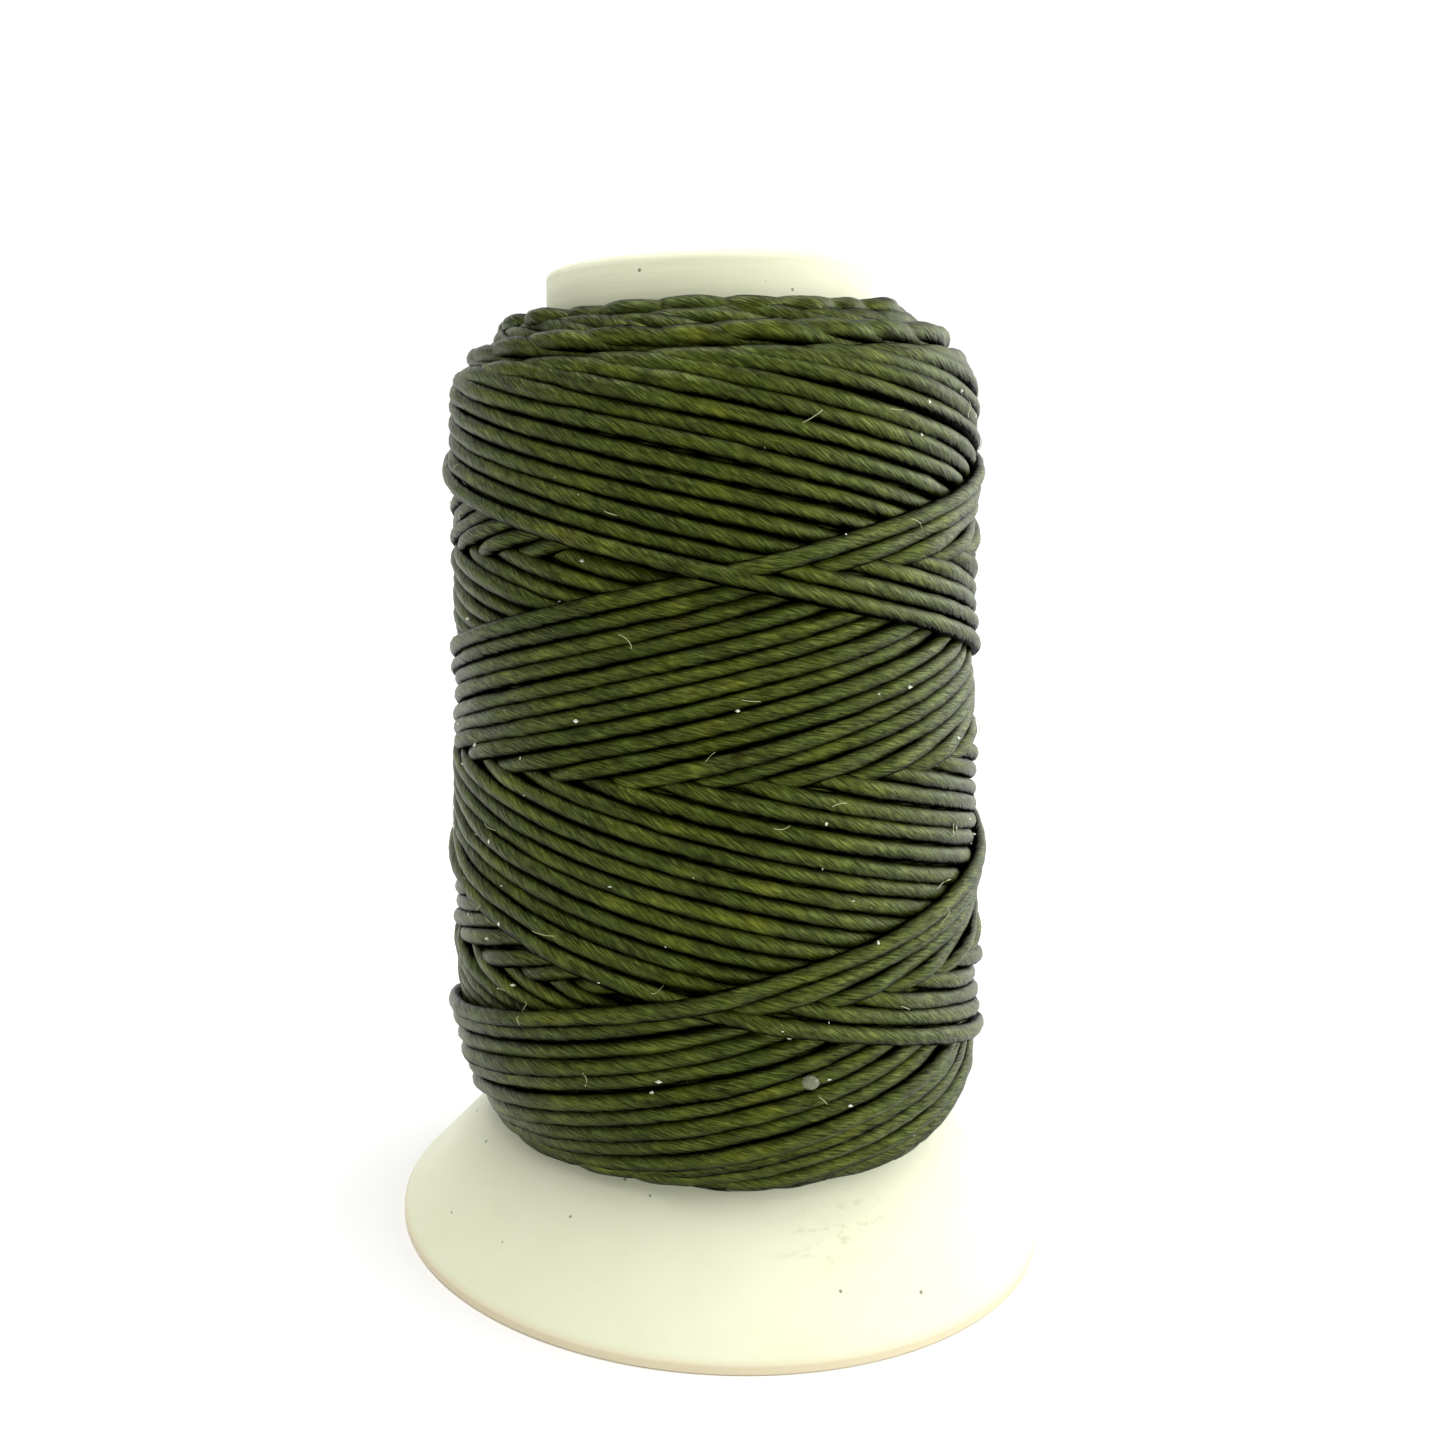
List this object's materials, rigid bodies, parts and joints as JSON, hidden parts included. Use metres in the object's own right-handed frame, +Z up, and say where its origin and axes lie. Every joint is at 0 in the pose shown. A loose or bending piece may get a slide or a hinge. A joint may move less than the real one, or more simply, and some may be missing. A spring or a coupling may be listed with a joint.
{
  "type": "waxed thread spool",
  "caption": "Plastic spool with a tapered tube and a wide flared foot, cross-wound with waxed stitching thread.",
  "frame": {"origin": "centre of the foot's rim, on the surface the spool stands on", "axes": "+Z up along the spool's axis, from the flared foot to the tube's rim; X and Y are any level pair"},
  "size_m": [0.04, 0.04, 0.0592],
  "materials": {
    "core_plastic": "matte off-white moulded plastic",
    "waxed_thread": "olive green waxed polyester, satin"
  },
  "bodies": {
    "root": {"spool_tube": "core_plastic", "flared_foot": "core_plastic", "spindle_sleeve": "core_plastic", "sleeve_rib_1": "core_plastic", "sleeve_rib_2": "core_plastic", "sleeve_rib_3": "core_plastic", "sleeve_rib_4": "core_plastic", "thread_inner_winding": "waxed_thread", "thread_outer_winding": "waxed_thread"}
  },
  "joints": []
}
